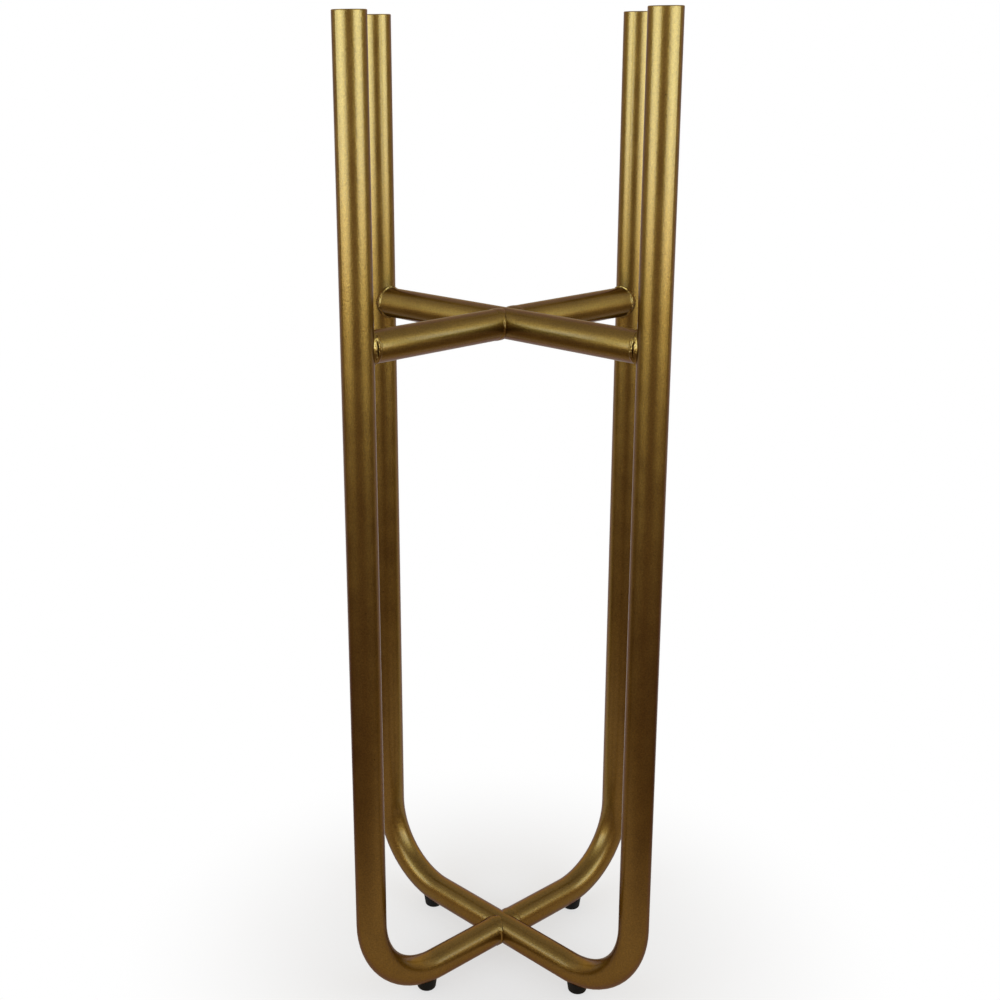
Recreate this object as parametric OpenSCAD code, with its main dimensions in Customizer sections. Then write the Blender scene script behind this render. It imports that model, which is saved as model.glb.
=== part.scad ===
// Plant stand of round tube: two crossed hoops form the base and the four legs, and two crossed
// rails between the legs carry the pot. Front is -Y, left is -X, and the floor is at Z = 0.
// The hoops and the rails lie on the two diagonals of the stand. On each level the tube on the
// back left to front right diagonal runs through, and two halves are welded to its sides.
// A tube that meets another one is cut square, and its weld fills the gap beside the round tube.

/* [Stand] */
// Height from the floor to the top of the leg caps
stand_height = 806; // [650:1:900]
// Distance between the axes of two opposite legs, along the diagonal
leg_span = 304; // [260:1:360]

/* [Tube] */
// Outer diameter of the tube
tube_d = 25; // [22:0.5:27]
// Wall thickness of the tube
tube_wall = 1.2; // [1:0.1:2]
// Bend radius of the hoops at the middle of the tube
bend_radius = 70; // [60:1:85]

/* [Rails] */
// Height of the rails' axis above the floor
rail_height = 570; // [450:1:600]

/* [Feet] */
// Height of the bottom runs' underside above the floor
floor_gap = 6.5; // [5:0.5:9]
// Distance of a foot's axis from the axis of its leg, along the diagonal
foot_inset = 60; // [50:1:80]
// Diameter of a foot where it meets the floor
foot_base_d = 16; // [14:0.2:17]
// Diameter of a foot at its widest, beside the tube
foot_top_d = 18.6; // [17.2:0.2:19.6]
// Rounding around a foot's base
foot_round = 2.4; // [1:0.1:3]
// Diameter of the stem that goes into the tube
stem_d = 6; // [5:0.5:7]
// How far the stem's barb stands out beyond the stem
barb_lip = 0.9; // [0.6:0.1:1.2]
// Height of the stem's barb
barb_height = 4; // [3:0.5:5]

/* [Leg caps] */
// Thickness of a cap's rim above the tube's end
cap_rim = 1.2; // [1:0.1:2]
// Rounding of a cap's upper edge
cap_round = 0.9; // [0.5:0.1:0.9]
// Depth of a cap's plug inside the tube
cap_depth = 14; // [10:1:20]
// Wall thickness of a cap's plug
cap_wall = 1.6; // [1.2:0.1:2.2]
// Number of ribs that grip the tube's bore
cap_ribs = 3; // [2:1:4]
// Width of one rib
cap_rib_width = 1.2; // [0.8:0.1:1.6]

/* [Welds] */
// Radius of the bead around a tube's square end
weld_bead_r = 1.1; // [0.9:0.05:1.3]
// How far the bead stands out from the tube
weld_crown = 0.6; // [0.3:0.05:0.8]
// Thickness of the weld that closes the gap beside the round tube
weld_throat = 1.8; // [1.2:0.1:2.4]

/* [Fits] */
// Gap between a square end and the tube that it meets, where they are closest
butt_gap = 0.3; // [0.2:0.05:0.4]
// Gap between a foot's saddle and the tube
saddle_gap = 0.1; // [0.05:0.05:0.3]
// Gap around a foot's stem in its hole
stem_gap = 0.15; // [0.1:0.05:0.3]
// Gap between a barb and the tube's bore under it
barb_gap = 0.2; // [0.1:0.05:0.4]
// Gap between a cap's plug and the tube's bore
plug_gap = 0.4; // [0.3:0.05:0.6]
// Gap between a cap's ribs and the tube's bore
rib_gap = 0.05; // [0.05:0.05:0.2]
// Gap between a weld and the tubes that it joins
weld_gap = 0.05; // [0.03:0.01:0.1]

/* [Hidden] */
$fn = 64;

// Headings of the four corners, turned from +X towards +Y
back_right_angle = 45;
back_left_angle = 135;
front_left_angle = 225;
front_right_angle = 315;

GOLD = "#b8964a";
BLACK = "#17171a";

tube_r = tube_d / 2;
bore_r = tube_r - tube_wall;
butt_reach = tube_r + butt_gap;
leg_reach = leg_span / 2;
rail_end = leg_reach - butt_reach;
run_end = leg_reach - bend_radius;
run_z = floor_gap + tube_r;
bend_z = run_z + bend_radius;
leg_top = stand_height - cap_rim;
// Cutters run this far past the surface that they cut
past = 1;

// ---------------------------------------------------------------- tubes

// In this frame X points from the middle of the stand out to a leg, and Z is up.
module facing(heading) {
    rotate([0, 0, heading])
        children();
}

// A round bar along X
module bar_along_x(from, to, z, r) {
    translate([from, 0, z])
        rotate([0, 90, 0])
            cylinder(h = to - from, r = r);
}

// A quarter turn that takes a horizontal bar up into its leg
module bend(r) {
    translate([run_end, 0, bend_z])
        rotate([90, 0, 0])
            rotate([0, 0, -90])
                rotate_extrude(angle = 90)
                    translate([bend_radius, 0])
                        circle(r = r);
}

// The leg above the bend, as a round bar of radius r up to the height top
module leg_bar(r, top) {
    translate([leg_reach, 0, bend_z])
        cylinder(h = top - bend_z, r = r);
}

// One arm of a hoop as a solid bar: the bottom run from the distance start, the bend and the leg
module arm_bar(start, r, top) {
    bar_along_x(start, run_end, run_z, r);
    bend(r);
    leg_bar(r, top);
}

// The hole in the underside of the bottom run that takes a foot's stem
module stem_hole() {
    translate([foot_reach, 0, 0])
        cylinder(h = run_z, d = stem_d + 2 * stem_gap);
}

module hoop_full() {
    color(GOLD)
        facing(front_right_angle)
            difference() {
                union() {
                    bar_along_x(-run_end, run_end, run_z, tube_r);
                    for (side = [0, 180])
                        facing(side) {
                            bend(tube_r);
                            leg_bar(tube_r, leg_top);
                        }
                }
                union() {
                    bar_along_x(-run_end, run_end, run_z, bore_r);
                    for (side = [0, 180])
                        facing(side) {
                            bend(bore_r);
                            leg_bar(bore_r, leg_top + past);
                        }
                }
                for (side = [0, 180])
                    facing(side)
                        stem_hole();
            }
}

module half_hoop(heading) {
    color(GOLD)
        facing(heading)
            difference() {
                union()
                    arm_bar(butt_reach, tube_r, leg_top);
                union()
                    arm_bar(butt_reach - past, bore_r, leg_top + past);
                stem_hole();
            }
}

// ---------------------------------------------------------------- rails

module rail_full() {
    color(GOLD)
        facing(front_right_angle)
            difference() {
                bar_along_x(-rail_end, rail_end, rail_height, tube_r);
                bar_along_x(-rail_end - past, rail_end + past, rail_height, bore_r);
            }
}

module half_rail(heading) {
    color(GOLD)
        facing(heading)
            difference() {
                bar_along_x(butt_reach, rail_end, rail_height, tube_r);
                bar_along_x(butt_reach - past, rail_end + past, rail_height, bore_r);
            }
}

// ---------------------------------------------------------------- leg caps

cap_plug_r = bore_r - plug_gap;
cap_rib_r = bore_r - rib_gap;
cap_rib_pitch = cap_depth / (cap_ribs + 1);

// Half section of a cap, with the tube's end at Y = 0
module cap_section() {
    square([tube_r - cap_round, cap_rim]);
    square([tube_r, cap_rim - cap_round]);
    translate([tube_r - cap_round, cap_rim - cap_round])
        intersection() {
            circle(r = cap_round);
            square(cap_round);
        }
    translate([cap_plug_r - cap_wall, -cap_depth])
        square([cap_wall, cap_depth]);
    for (rib = [1 : cap_ribs])
        translate([cap_plug_r - cap_wall, -rib * cap_rib_pitch - cap_rib_width / 2])
            square([cap_rib_r - cap_plug_r + cap_wall, cap_rib_width]);
}

module leg_cap(heading) {
    color(GOLD)
        facing(heading)
            translate([leg_reach, 0, leg_top])
                rotate_extrude()
                    cap_section();
}

// ---------------------------------------------------------------- feet

foot_reach = leg_reach - foot_inset;
foot_base_r = foot_base_d / 2;
foot_top_r = foot_top_d / 2;
stem_r = stem_d / 2;
barb_r = stem_r + barb_lip;

// Height of the lowest point, on a hoop's plane, of a bar of radius r at the distance x from the middle
function underside(x, r) =
    x <= run_end ? run_z - r : bend_z - sqrt(pow(bend_radius + r, 2) - pow(x - run_end, 2));

// How much higher a bar of radius r lies at the distance y to the side of its lowest line
function side_rise(y, r) = r - sqrt(pow(r, 2) - pow(y, 2));

// The foot's taper ends where the tube's side covers it
foot_shoulder = underside(foot_reach, tube_r) + side_rise(foot_top_r, tube_r);
barb_z = underside(foot_reach + barb_r, bore_r) + side_rise(barb_r, bore_r) + barb_gap;

// Half section of a foot's rubber body up to the tube's axis
module foot_body_section() {
    polygon([
        [0, 0],
        [foot_base_r - foot_round, 0],
        [foot_base_r, foot_round],
        [foot_top_r, foot_shoulder],
        [foot_top_r, run_z],
        [0, run_z],
    ]);
    translate([foot_base_r - foot_round, foot_round])
        intersection() {
            circle(r = foot_round);
            translate([0, -foot_round])
                square(foot_round);
        }
}

// Half section of the stem with its barb
module stem_section() {
    polygon([
        [0, foot_round],
        [stem_r, foot_round],
        [stem_r, barb_z],
        [barb_r, barb_z],
        [stem_r, barb_z + barb_height],
        [0, barb_z + barb_height],
    ]);
}

module foot(heading) {
    color(BLACK)
        facing(heading) {
            difference() {
                translate([foot_reach, 0, 0])
                    rotate_extrude()
                        foot_body_section();
                arm_bar(0, tube_r + saddle_gap, bend_z + past);
            }
            translate([foot_reach, 0, 0])
                rotate_extrude()
                    stem_section();
        }
}

// ---------------------------------------------------------------- welds

// In a weld's frame the tube with the square end lies along X, and the round tube along Z.
seat_r = tube_r + weld_gap;
weld_face = butt_reach - weld_gap;
// The fill runs in at 45 degrees from the square end until it is inside the round tube
fill_depth = tube_r / 2;
fill_width = weld_throat * sqrt(2);

// Half section of the fill: along X here is the distance from the square tube's axis
module fill_section() {
    polygon([
        [tube_r, weld_face],
        [tube_r - fill_width, weld_face],
        [tube_r - fill_width - fill_depth, weld_face - fill_depth],
        [tube_r - fill_depth, weld_face - fill_depth],
    ]);
}

// Half section of the bead, which stands on the tube's end and fills in before it
module bead_section() {
    intersection() {
        translate([tube_r + weld_crown - weld_bead_r, butt_reach])
            circle(r = weld_bead_r);
        union() {
            translate([tube_r - weld_bead_r, weld_face - weld_bead_r])
                square([2 * weld_bead_r, weld_bead_r]);
            translate([seat_r, weld_face - weld_bead_r])
                square([weld_bead_r, 3 * weld_bead_r]);
        }
    }
}

module weld_joint() {
    difference() {
        rotate([0, 90, 0])
            rotate_extrude() {
                fill_section();
                bead_section();
            }
        cylinder(h = 2 * tube_d, r = seat_r, center = true);
    }
}

// Around a rail's end at its leg: the rail points back to the middle of the stand
module weld_at_leg(heading) {
    color(GOLD)
        facing(heading)
            translate([leg_reach, 0, rail_height])
                rotate([0, 0, 180])
                    weld_joint();
}

// Around a half tube's end at the middle of the stand, at the height z
module weld_at_cross(heading, z) {
    color(GOLD)
        facing(heading)
            translate([0, 0, z])
                rotate([90, 0, 0])
                    weld_joint();
}

// ---------------------------------------------------------------- the stand

hoop_full();
half_hoop(front_left_angle);  // half_hoop_front_left
half_hoop(back_right_angle);  // half_hoop_back_right
rail_full();
half_rail(front_left_angle);  // half_rail_front_left
half_rail(back_right_angle);  // half_rail_back_right
leg_cap(front_left_angle);  // leg_cap_front_left
leg_cap(front_right_angle);  // leg_cap_front_right
leg_cap(back_left_angle);  // leg_cap_back_left
leg_cap(back_right_angle);  // leg_cap_back_right
foot(front_left_angle);  // foot_front_left
foot(front_right_angle);  // foot_front_right
foot(back_left_angle);  // foot_back_left
foot(back_right_angle);  // foot_back_right
weld_at_leg(front_left_angle);  // weld_rail_front_left
weld_at_leg(front_right_angle);  // weld_rail_front_right
weld_at_leg(back_left_angle);  // weld_rail_back_left
weld_at_leg(back_right_angle);  // weld_rail_back_right
weld_at_cross(front_left_angle, rail_height);  // weld_rail_cross_front
weld_at_cross(back_right_angle, rail_height);  // weld_rail_cross_back
weld_at_cross(front_left_angle, run_z);  // weld_hoop_cross_front
weld_at_cross(back_right_angle, run_z);  // weld_hoop_cross_back
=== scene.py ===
import math

import bmesh
import bpy
from mathutils import Matrix, Vector, noise


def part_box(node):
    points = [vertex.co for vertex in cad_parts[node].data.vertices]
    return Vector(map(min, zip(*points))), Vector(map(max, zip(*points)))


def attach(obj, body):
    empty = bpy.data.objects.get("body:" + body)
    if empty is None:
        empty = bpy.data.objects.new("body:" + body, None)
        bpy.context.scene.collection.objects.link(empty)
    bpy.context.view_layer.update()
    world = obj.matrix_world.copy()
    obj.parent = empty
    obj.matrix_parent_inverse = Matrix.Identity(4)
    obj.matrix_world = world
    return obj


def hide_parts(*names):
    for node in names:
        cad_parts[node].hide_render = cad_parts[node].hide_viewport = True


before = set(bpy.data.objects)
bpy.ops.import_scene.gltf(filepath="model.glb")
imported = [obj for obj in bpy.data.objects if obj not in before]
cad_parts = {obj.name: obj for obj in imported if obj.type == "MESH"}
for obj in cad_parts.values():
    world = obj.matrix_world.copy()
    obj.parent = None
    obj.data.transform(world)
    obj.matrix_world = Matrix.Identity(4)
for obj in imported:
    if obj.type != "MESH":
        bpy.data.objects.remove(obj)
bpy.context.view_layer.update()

scene = bpy.context.scene

MM = 0.001
# Where each leg stands, in degrees from +X towards +Y
HEADINGS = {"front_left": 225, "front_right": 315, "back_left": 135, "back_right": 45}
# Where the half tubes lead from the front and the back of a crossing
HALF_HEADINGS = {"front": HEADINGS["front_left"], "back": HEADINGS["back_right"]}
FEET = ["foot_" + corner for corner in HEADINGS]

rail_low, rail_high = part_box("rail_full")
hoop_low, hoop_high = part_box("hoop_full")
TUBE_R = (rail_high.z - rail_low.z) / 2
RAIL_Z = (rail_high.z + rail_low.z) / 2
RUN_Z = hoop_low.z + TUBE_R
LEG_REACH = ((hoop_high.x - hoop_low.x) / 2 - TUBE_R) * math.sqrt(2)

WHITE = (1, 1, 1, 1)
GOLD = (0.186, 0.1100, 0.0225)
# The welds' gold is the tubes' paint made a little lighter: a painted highlight on the beads
WELD_GOLD_PAINTED_HIGHLIGHT = (0.200, 0.123, 0.027)
EDGE_GOLD = (0.30, 0.215, 0.03)
RUBBER_BLACK = (0.004, 0.004, 0.004)
FLOOR_PALE = (0.65, 0.61, 0.59)
SHEET_PALE = (1.25, 1.02, 0.50)
ROOM_LOW = (0.80, 0.79, 0.77)
ROOM_MIDDLE = (0.76, 0.74, 0.72)
ROOM_TOP = (0.48, 0.45, 0.41)
# The room's colour by height, from 0 straight down to 1 straight up
ROOM_STOPS = ((0.0, ROOM_LOW), (0.48, ROOM_LOW), (0.58, ROOM_MIDDLE), (0.68, ROOM_MIDDLE),
              (1.0, ROOM_TOP))

# The painted reflection's colour under the stand, and those that it turns to further out: from,
# to, colour. It is a glowing sheet that only the metal sees, warm and dark about the stand's front
PAINTED_REFLECTION_REACH = 5.5
PAINTED_REFLECTION_UNDER = (0.65, 0.52, 0.39)
PAINTED_REFLECTION_TONES = ((0.24, 0.54, (0.20, 0.122, 0.096)),
              (1.2, 3.4, (0.38, 0.25, 0.165)),
              (3.2, PAINTED_REFLECTION_REACH, (0.52, 0.37, 0.24)))

LAMP_DISTANCE, LAMP_BEARING, LAMP_WIDTH = 1.05, math.radians(57), 1.28
LAMP_RADIANCE, LAMP_SPREAD = 2.25, math.radians(106)
# Upright bands of each softbox: name, from, to, tint
LAMP_BANDS = (("low", 0.48, 0.58, (0.84, 0.80, 0.64)),
              ("middle", 0.58, 1.05, (0.645, 0.91, 1.20)),
              ("top", 1.05, 1.64, (0.76, 0.86, 0.70)))


def add_object(name, build, material):
    """An object made from a bmesh, which is used up."""
    mesh = bpy.data.meshes.new(name)
    build.to_mesh(mesh)
    build.free()
    mesh.materials.append(material)
    made = bpy.data.objects.new(name, mesh)
    scene.collection.objects.link(made)
    return made


# ---------------------------------------------------------------- camera

def place_camera():
    """The photograph's viewpoint, solved from the stand's edges in it.

    The right legs show longer than the left ones, because the photograph's middle lies to the
    right of the lens's axis. The shift is that distance.
    """
    focal_px, axis_px, frame_px, sensor = 1482.4, 430, 1000, 36.0
    place = Vector((0.6, -1168.1, 785.1)) * MM
    yaw, pitch, roll = math.radians(-3.032), math.radians(17.228), math.radians(-0.593)
    data = bpy.data.cameras.new("camera")
    data.sensor_width = sensor
    data.lens = sensor * focal_px / frame_px
    data.shift_x = 0.5 - axis_px / frame_px
    camera = bpy.data.objects.new("camera", data)
    scene.collection.objects.link(camera)
    level = Matrix.Rotation(-yaw, 4, "Z") @ Matrix.Rotation(math.pi / 2 - pitch, 4, "X")
    camera.matrix_world = Matrix.Translation(place) @ level @ Matrix.Rotation(roll, 4, "Z")
    scene.camera = camera


# ---------------------------------------------------------------- shader building

class Shader:
    """A node tree under construction: nodes by type, with inputs given by name or linked."""

    def __init__(self, holder):
        holder.use_nodes = True
        self.tree = holder.node_tree
        self.tree.nodes.clear()

    def add(self, kind, inputs=(), **settings):
        node = self.tree.nodes.new(kind)
        for key, value in settings.items():
            setattr(node, key, value)
        for key, value in dict(inputs).items():
            if isinstance(value, bpy.types.NodeSocket):
                self.tree.links.new(value, node.inputs[key])
            else:
                node.inputs[key].default_value = value
        return node

    def math(self, operation, a, b, clamp=False):
        return self.add("ShaderNodeMath", {0: a, 1: b}, operation=operation,
                        use_clamp=clamp).outputs[0]

    def ramp(self, value, low, high, to_low=0.0, to_high=1.0):
        """A smooth step as the value goes from low to high."""
        return self.add("ShaderNodeMapRange",
                        {"Value": value, "From Min": low, "From Max": high,
                         "To Min": to_low, "To Max": to_high},
                        interpolation_type="SMOOTHSTEP").outputs["Result"]

    def blend(self, factor, a, b):
        """A colour between a and b."""
        return self.add("ShaderNodeMix", {0: factor, 6: a, 7: b}, data_type="RGBA").outputs[2]

    def bands(self, value, stops):
        """A colour that follows a value through (position, colour) stops."""
        node = self.add("ShaderNodeValToRGB", {"Fac": value})
        node.color_ramp.interpolation = "EASE"
        marks = node.color_ramp.elements
        while len(marks) < len(stops):
            marks.new(1.0)
        for mark, (position, colour) in zip(marks, stops):
            mark.position = position
            mark.color = (*colour, 1)
        return node.outputs["Color"]

    def noise(self, where, scale, detail, rough=0.5):
        return self.add("ShaderNodeTexNoise", {"Vector": where, "Scale": scale, "Detail": detail,
                                               "Roughness": rough}).outputs["Fac"]

    def out(self, surface, kind="ShaderNodeOutputMaterial"):
        self.add(kind, {"Surface": surface})


# ---------------------------------------------------------------- studio

def build_world():
    """A white backdrop behind the stand, and a pale grey room on the other sides.

    A pale band behind the stand, above the camera's view, lights the upper sides of the rails.
    Camera rays don't see it.
    """
    world = bpy.data.worlds.new("studio")
    scene.world = world
    sh = Shader(world)
    where = sh.add("ShaderNodeTexCoord").outputs["Generated"]
    split = sh.add("ShaderNodeSeparateXYZ", {"Vector": where}).outputs
    flat = sh.add("ShaderNodeCombineXYZ", {"X": split["X"], "Y": split["Y"]}).outputs[0]
    unit = sh.add("ShaderNodeVectorMath", {0: flat}, operation="NORMALIZE").outputs["Vector"]
    facing = sh.add("ShaderNodeSeparateXYZ", {"Vector": unit}).outputs["Y"]
    backdrop_edge, backdrop_fade = math.radians(23), math.radians(40)
    across = sh.ramp(facing, math.cos(backdrop_fade), math.cos(backdrop_edge))
    backdrop_top, backdrop_end = math.radians(3), math.radians(10)
    below = sh.ramp(split["Z"], math.sin(backdrop_top), math.sin(backdrop_end), 1.0, 0.0)
    backdrop = sh.math("MULTIPLY", across, below)
    height = sh.math("MULTIPLY", sh.math("ADD", split["Z"], 1.0), 0.5)
    room = sh.bands(height, ROOM_STOPS)
    # Where the band fades, sideways by the direction's Y in plan and up and down by its Z
    sheet_side, sheet_full = 0.2, 0.7
    sheet_start, sheet_low, sheet_high, sheet_end = 0.02, 0.14, 0.30, 0.56
    behind = sh.ramp(facing, sheet_side, sheet_full)
    sheet = sh.math("MULTIPLY", behind, sh.ramp(split["Z"], sheet_high, sheet_end, 1.0, 0.0))
    sheet = sh.math("MULTIPLY", sheet, sh.ramp(split["Z"], sheet_start, sheet_low))
    camera_ray = sh.add("ShaderNodeLightPath").outputs["Is Camera Ray"]
    sheet = sh.math("MULTIPLY", sheet, sh.math("SUBTRACT", 1.0, camera_ray))
    room = sh.blend(sheet, room, (*SHEET_PALE, 1))
    colour = sh.blend(backdrop, room, WHITE)
    sh.out(sh.add("ShaderNodeBackground", {"Color": colour, "Strength": 1.0}).outputs[0],
           "ShaderNodeOutputWorld")


def add_softbox(name, place, aim, height, tint):
    """An area lamp whose face shows at the lamps' radiance."""
    data = bpy.data.lights.new(name, "AREA")
    data.shape = "RECTANGLE"
    data.size = LAMP_WIDTH
    data.size_y = height
    data.color = tint
    data.energy = LAMP_RADIANCE * math.pi * LAMP_WIDTH * height
    data.spread = LAMP_SPREAD
    lamp = bpy.data.objects.new(name, data)
    scene.collection.objects.link(lamp)
    lamp.location = place
    lamp.rotation_euler = (Vector(aim) - Vector(place)).to_track_quat("-Z", "Y").to_euler()
    lamp.visible_camera = False


def build_lamps():
    """A wide softbox on each side of the camera, from the stand's middle to well above it."""
    for side, name in ((-1, "softbox_left_"), (1, "softbox_right_")):
        for band, low, high, tint in LAMP_BANDS:
            middle = (low + high) / 2
            place = (side * LAMP_DISTANCE * math.sin(LAMP_BEARING),
                     -LAMP_DISTANCE * math.cos(LAMP_BEARING), middle)
            add_softbox(name + band, place, (0, 0, middle), high - low, tint)


def build_floor():
    """A wide white floor that fades out at its rim.

    Near the stand a part of what the camera and the metal see of it is matte, and so shows the
    soft shadow about the feet.
    """
    radius, fade_start, thickness, sides = 6.0, 3.5, 0.004, 128
    shadow_near, shadow_far, white_near = 0.06, 0.36, 0.62
    build = bmesh.new()
    bmesh.ops.create_cone(build, cap_ends=True, segments=sides, radius1=radius, radius2=radius,
                          depth=thickness)
    bmesh.ops.translate(build, vec=(0, 0, -thickness / 2), verts=build.verts)
    material = bpy.data.materials.new("floor_pale")
    sh = Shader(material)
    where = sh.add("ShaderNodeTexCoord").outputs["Object"]
    reach = sh.add("ShaderNodeVectorMath", {0: where}, operation="LENGTH").outputs["Value"]
    share = sh.ramp(reach, shadow_near, shadow_far, white_near, 1.0)
    path = sh.add("ShaderNodeLightPath").outputs
    seen = sh.math("ADD", path["Is Camera Ray"], path["Is Glossy Ray"])
    seen = sh.math("ADD", seen, path["Is Transmission Ray"], clamp=True)
    share = sh.math("MULTIPLY", seen, share)
    matte = sh.add("ShaderNodeBsdfDiffuse", {"Color": (*FLOOR_PALE, 1)}).outputs[0]
    white = sh.add("ShaderNodeEmission", {"Color": WHITE, "Strength": 1.0}).outputs[0]
    clear = sh.add("ShaderNodeBsdfTransparent").outputs[0]
    pale = sh.add("ShaderNodeMixShader", {0: share, 1: matte, 2: white}).outputs[0]
    rim = sh.ramp(reach, fade_start, radius)
    sh.out(sh.add("ShaderNodeMixShader", {0: rim, 1: pale, 2: clear}).outputs[0])
    floor = add_object("floor", build, material)


def build_painted_reflection_card():
    """A painted reflection: a glowing warm sheet on the floor and walls about the stand's front,
    which only its metal sees, and which puts painted shade into the lower metal.
    """
    inner, half_angle, lift, steps = 0.02, math.radians(150), 0.001, 60
    # Where it fades out, up the walls and, by the direction's Y, behind the stand
    wall_fade, wall_top = 1.2, 3.2
    back_fade, back_end = 0.20, 0.75
    build = bmesh.new()
    rims = []
    for step in range(steps + 1):
        turn = half_angle * (2 * step / steps - 1)
        rims.append([build.verts.new((reach * math.sin(turn), -reach * math.cos(turn), height))
                     for reach, height in ((inner, lift), (PAINTED_REFLECTION_REACH, lift),
                                           (PAINTED_REFLECTION_REACH, wall_top))])
    for here, there in zip(rims, rims[1:]):
        for level in (0, 1):
            build.faces.new((here[level], there[level], there[level + 1], here[level + 1]))
    material = bpy.data.materials.new("painted_reflection_card")
    sh = Shader(material)
    where = sh.add("ShaderNodeTexCoord").outputs["Object"]
    unit = sh.add("ShaderNodeVectorMath", {0: where}, operation="NORMALIZE").outputs["Vector"]
    facing = sh.add("ShaderNodeSeparateXYZ", {"Vector": unit}).outputs["Y"]
    reach = sh.add("ShaderNodeVectorMath", {0: where}, operation="LENGTH").outputs["Value"]
    height = sh.add("ShaderNodeSeparateXYZ", {"Vector": where}).outputs["Z"]
    low = sh.ramp(height, wall_fade, wall_top, 1.0, 0.0)
    solid = sh.math("MULTIPLY", low, sh.ramp(facing, back_fade, back_end, 1.0, 0.0))
    tone = (*PAINTED_REFLECTION_UNDER, 1)
    for start, full, colour in PAINTED_REFLECTION_TONES:
        tone = sh.blend(sh.ramp(reach, start, full), tone, (*colour, 1))
    # The sheet glows though it is no lamp: a painted reflection, which camera, diffuse and shadow
    # rays pass
    glow = sh.add("ShaderNodeEmission", {"Color": tone, "Strength": 1.0}).outputs[0]
    clear = sh.add("ShaderNodeBsdfTransparent").outputs[0]
    sh.out(sh.add("ShaderNodeMixShader", {0: solid, 1: clear, 2: glow}).outputs[0])
    card = add_object("painted_reflection_card", build, material)
    card.visible_camera = False
    card.visible_diffuse = False
    card.visible_shadow = False


# ---------------------------------------------------------------- materials

def gold_paint(name, colour, roughness, peel_depth):
    """Satin gold metallic paint: orange peel, flakes, grain, slow mottling and a few specks."""
    # Cells or waves to the metre
    peel_scale, flake_scale, grain_scale = 620.0, 1500.0, 760.0
    mottle_scale, speck_scale = 42.0, 75.0
    # What each adds to the brightness, and the part that stays even
    flake_share, mottle_share, grain_share, even_share = 0.18, 0.30, 0.60, 0.48
    roughness_swing = 0.16
    material = bpy.data.materials.new(name)
    sh = Shader(material)
    where = sh.add("ShaderNodeTexCoord").outputs["Object"]
    peel = sh.noise(where, peel_scale, detail=1.5)
    flakes = sh.add("ShaderNodeTexVoronoi", {"Vector": where, "Scale": flake_scale})
    flake = sh.add("ShaderNodeSeparateColor", {"Color": flakes.outputs["Color"]}).outputs[0]
    grain = sh.noise(where, grain_scale, detail=1.0)
    mottle = sh.noise(where, mottle_scale, detail=3.0, rough=0.55)
    tone = sh.math("ADD", sh.math("MULTIPLY", flake, flake_share),
                   sh.math("MULTIPLY", mottle, mottle_share))
    tone = sh.math("ADD", tone, sh.math("MULTIPLY", grain, grain_share))
    value = sh.math("ADD", tone, even_share)
    # Small dark specks: their size in cells, how many cells have one, and how dark they are
    speck_size, speck_end, speck_chance, speck_depth = 0.035, 0.065, 0.16, 0.45
    cell = sh.add("ShaderNodeTexVoronoi", {"Vector": where, "Scale": speck_scale}).outputs
    near = sh.ramp(cell["Distance"], speck_size, speck_end, 1.0, 0.0)
    pick = sh.add("ShaderNodeSeparateColor", {"Color": cell["Color"]}).outputs[1]
    speck = sh.math("MULTIPLY", near, sh.math("LESS_THAN", pick, speck_chance))
    unspecked = sh.math("SUBTRACT", 1.0, sh.math("MULTIPLY", speck, speck_depth))
    value = sh.math("MULTIPLY", value, unspecked)
    shade = sh.add("ShaderNodeHueSaturation", {"Color": (*colour, 1), "Value": value}).outputs[0]
    dull = sh.math("ADD", sh.math("MULTIPLY", mottle, roughness_swing),
                   roughness - roughness_swing / 2)
    bump = sh.add("ShaderNodeBump", {"Height": peel, "Strength": 1.0, "Distance": peel_depth})
    paint = sh.add("ShaderNodeBsdfPrincipled", {
        "Base Color": shade, "Metallic": 1.0, "Roughness": dull, "Specular Tint": (*EDGE_GOLD, 1),
        "Coat Weight": 0.33, "Coat Roughness": 0.17, "Coat IOR": 1.5,
        "Normal": bump.outputs["Normal"]})
    sh.out(paint.outputs[0])
    return material


def black_rubber():
    """Matte black rubber with a fine grain."""
    grain_scale, grain_depth = 900.0, 0.1 * MM
    material = bpy.data.materials.new("black_rubber")
    sh = Shader(material)
    where = sh.add("ShaderNodeTexCoord").outputs["Object"]
    grain = sh.noise(where, grain_scale, detail=2.0)
    bump = sh.add("ShaderNodeBump", {"Height": grain, "Strength": 0.4, "Distance": grain_depth})
    rubber = sh.add("ShaderNodeBsdfPrincipled", {
        "Base Color": (*RUBBER_BLACK, 1), "Roughness": 0.70, "Specular IOR Level": 0.16,
        "Normal": bump.outputs["Normal"]})
    sh.out(rubber.outputs[0])
    return material


def dress(node, material):
    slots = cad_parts[node].data.materials
    slots.clear()
    slots.append(material)


# ---------------------------------------------------------------- welds

# The square end's distance from the round tube's axis, where the two are closest
BUTT_REACH = TUBE_R + 0.3 * MM
# How deep a weld's edges lie under the tubes' surfaces
SINK = 0.04 * MM
WELD_STEPS_ROUND, WELD_STEPS_ACROSS = 200, 40

# Lengths from here on are in mm. How far a weld reaches along each tube
WELD_LEG = 1.0
# Handles of the curve over the weld: the toe's, along the square tube, and the end's, as
# (outwards, along), at the weld's sides and where the tubes are closest
TOE_HANDLE, SIDE_HANDLE, CLOSE_HANDLE = -0.7, (0.9, 3.6), (-0.1, 0.8)
# The root, inside the tubes: depths towards the square tube's axis, and steps along it
ROOT_DEEP, ROOT_SHALLOW, ROOT_END, ROOT_BACK, ROOT_LIFT = 2.2, 0.5, 0.3, 0.4, 0.02
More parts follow.
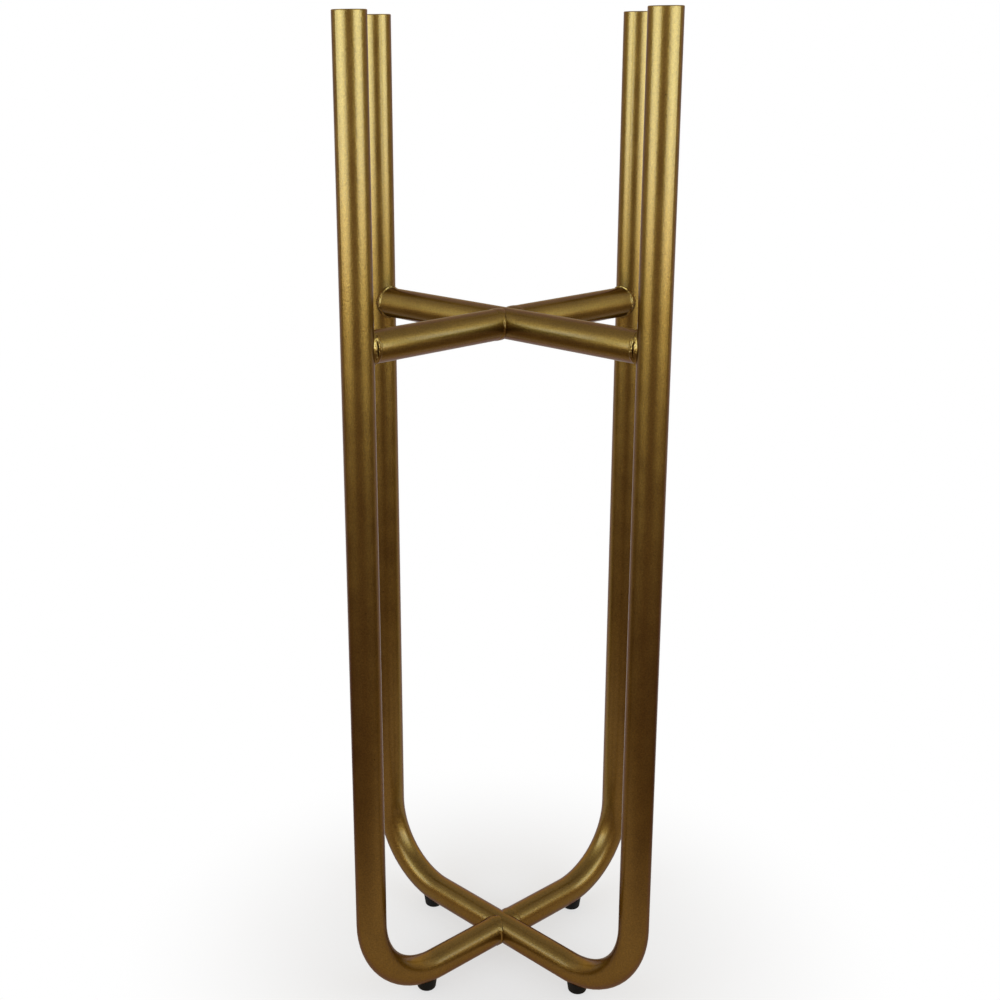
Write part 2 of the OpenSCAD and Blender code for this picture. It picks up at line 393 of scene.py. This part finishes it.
# Coarse and fine lumps, which fade towards the weld's edges, and how far the marks stray
LUMP_SIZE, LUMP_SHARE, FINE_SIZE, FINE_SHARE, BODY_POWER = 1.9, 0.6, 0.85, 0.4, 0.7
STRAY, STRAY_SIZE = 0.45, 2.4
# The ridge above the toe: its place and half width across the weld, and how the lumps vary it
RIDGE_AT, RIDGE_WIDTH, RIDGE_VARIES = 1.3, 1.0, 0.6
# Seeds of the fine lumps and of the marks' straying, counted from the weld's own
FINE_SEED, STRAY_SEED = 40, 9


def lumps(turn, along, seed, size):
    """Smooth lumps over a weld, in -1 to 1, of a size that holds around it and along it."""
    reach = TUBE_R / size
    where = Vector((reach * math.cos(turn), reach * math.sin(turn), seed + along / size))
    return noise.noise(where)


def bump_at(value, centre, width):
    """1 at the centre, and 0 from the width on."""
    share = max(0.0, 1.0 - abs(value - centre) / width)
    return share * share * (3 - 2 * share)


def turn_bump(turn, centre, width):
    """The same around a ring, with the centre and width in degrees."""
    away = (math.degrees(turn) - centre + 180) % 360 - 180
    return bump_at(away, 0.0, width)


def bezier(points, share):
    """A point of a cubic curve."""
    a, b, c, d = points
    rest = 1 - share
    return (a * rest ** 3 + b * 3 * rest ** 2 * share + c * 3 * rest * share ** 2 + d * share ** 3)


def weld_outline(turn, look):
    """The weld over the gap at one turn around the square tube, as (distance from its axis, x).

    It goes from the toe, on the square tube, to the end, on the round one, and back inside both.
    """
    # 1 at the sides, where the round tube falls away from the square end, and 0 where it doesn't
    side = math.cos(turn) ** 2
    end_r = TUBE_R + (WELD_LEG - (WELD_LEG + look["hollow"]) * side) * MM
    end_x = math.sqrt(max(0.0, TUBE_R ** 2 - (end_r * math.cos(turn)) ** 2))
    toe = Vector((TUBE_R - SINK, BUTT_REACH + WELD_LEG * MM))
    end = Vector((end_r - SINK * side, end_x - SINK))
    first = toe + Vector((look["crown"] * MM, TOE_HANDLE * MM))
    last = end + side * Vector(SIDE_HANDLE) * MM + (1 - side) * Vector(CLOSE_HANDLE) * MM
    curve = (toe, first, last, end)
    steps, seed = WELD_STEPS_ACROSS, look["seed"]
    wander = STRAY * lumps(turn, 0.0, seed + STRAY_SEED, STRAY_SIZE * MM)
    spots = [Vector(bezier(curve, step / steps)) for step in range(steps + 1)]
    outline, run = [], 0.0
    for step, spot in enumerate(spots):
        share = step / steps
        ahead = spots[min(step + 1, steps)] - spots[max(step - 1, 0)]
        outwards = Vector((-ahead.y, ahead.x)).normalized()
        if step:
            run += (spot - spots[step - 1]).length
        body = math.sin(math.pi * share) ** BODY_POWER
        swell = LUMP_SHARE * lumps(turn, run, seed, LUMP_SIZE * MM)
        swell += FINE_SHARE * lumps(turn, run, seed + FINE_SEED, FINE_SIZE * MM)
        lift = look["rough"] * swell * body
        ridge = look["ridge"] * (1 + RIDGE_VARIES * swell)
        lift += ridge * bump_at(run / MM, RIDGE_AT, RIDGE_WIDTH)
        for centre, width, run_at, run_width, height in look["marks"]:
            across = bump_at(run / MM, run_at + wander, run_width)
            lift += height * turn_bump(turn, centre, width) * across
        outline.append(spot + outwards * lift * MM)
    # Back along the root, inside the tubes
    outline.append(Vector((end_r - ROOT_DEEP * MM, end_x - ROOT_END * MM)))
    outline.append(Vector((TUBE_R - ROOT_DEEP * MM, BUTT_REACH - ROOT_BACK * MM)))
    outline.append(Vector((TUBE_R - ROOT_SHALLOW * MM, BUTT_REACH + ROOT_LIFT * MM)))
    return outline


def build_weld(node, matrix, material, look):
    """A weld around the square end of a tube along X, against the side of a tube along Z."""
    steps = WELD_STEPS_ROUND
    build = bmesh.new()
    rings = []
    for step in range(steps):
        turn = 2 * math.pi * step / steps
        rings.append([build.verts.new((x, r * math.cos(turn), r * math.sin(turn)))
                      for r, x in weld_outline(turn, look)])
    for step in range(steps):
        ring, following = rings[step], rings[(step + 1) % steps]
        for here in range(len(ring)):
            there = (here + 1) % len(ring)
            build.faces.new((ring[here], ring[there], following[there], following[here]))
    bmesh.ops.recalc_face_normals(build, faces=build.faces)
    for face in build.faces:
        face.smooth = True
    bead = add_object(node + "_bead", build, material)
    bead.data.transform(matrix)
    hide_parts(node)
    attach(bead, "root")


def build_welds(rail_material, cross_material):
    """The rails' welds stand on the legs, and the half tubes' welds on the tubes that cross.

    A mark is (turn, half width) in degrees around the weld, (place, half width) across it and
    its height, in mm. The two front rail ends each show a slit, with a low lip beyond it.
    """
    slits = {"front_left": 180, "front_right": 0}
    for number, (corner, heading) in enumerate(HEADINGS.items()):
        look = {"seed": 1.7 + 5.3 * number, "hollow": 1.5, "crown": 0.5, "rough": 0.42,
                "ridge": 0.65, "marks": ()}
        if corner in slits:
            slit, lip = (46, 3.65, 0.75, -2.8), (30, 4.9, 0.7, 0.15)
            look["marks"] = ((slits[corner], *slit), (slits[corner], *lip))
            look["ridge"] = 0.35
            look["hollow"] = 2.1
        place = Matrix.Rotation(math.radians(heading), 4, "Z") @ Matrix.Translation(
            (LEG_REACH, 0, RAIL_Z)) @ Matrix.Rotation(math.pi, 4, "Z")
        build_weld("weld_rail_" + corner, place, rail_material, look)
    rail_marks = ((272, 7, 0.4, 0.5, 0.4), (267, 13, 1.35, 0.5, 0.4))
    hoop_marks = ((236, 9, 0.8, 0.7, 0.5), (214, 7, 0.9, 0.7, 0.4))
    crossings = (("rail_cross_front", RAIL_Z, 0.12, rail_marks),
                 ("rail_cross_back", RAIL_Z, 0.12, ()),
                 ("hoop_cross_front", RUN_Z, 0.28, hoop_marks),
                 ("hoop_cross_back", RUN_Z, 0.24, ()))
    for number, (name, height, rough, marks) in enumerate(crossings):
        heading = HALF_HEADINGS[name.rpartition("_")[2]]
        look = {"seed": 31.1 + 4.1 * number, "hollow": 0.35, "crown": 0.35, "rough": rough,
                "ridge": 0.0, "marks": marks}
        place = Matrix.Rotation(math.radians(heading), 4, "Z") @ Matrix.Translation(
            (0, 0, height)) @ Matrix.Rotation(math.pi / 2, 4, "X")
        build_weld("weld_" + name, place, cross_material, look)


place_camera()
build_world()
build_lamps()
build_floor()
build_painted_reflection_card()
gold = gold_paint("gold_paint", GOLD, roughness=0.34, peel_depth=0.125 * MM)
# The welds take a lighter copy of the gold paint, a painted highlight, and a smoother one
weld_gold_painted_highlight = gold_paint("gold_paint_weld", WELD_GOLD_PAINTED_HIGHLIGHT, roughness=0.29, peel_depth=0.06 * MM)
rubber = black_rubber()
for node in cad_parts:
    dress(node, rubber if node in FEET else gold)
build_welds(weld_gold_painted_highlight, gold)

scene.view_settings.view_transform = "Standard"
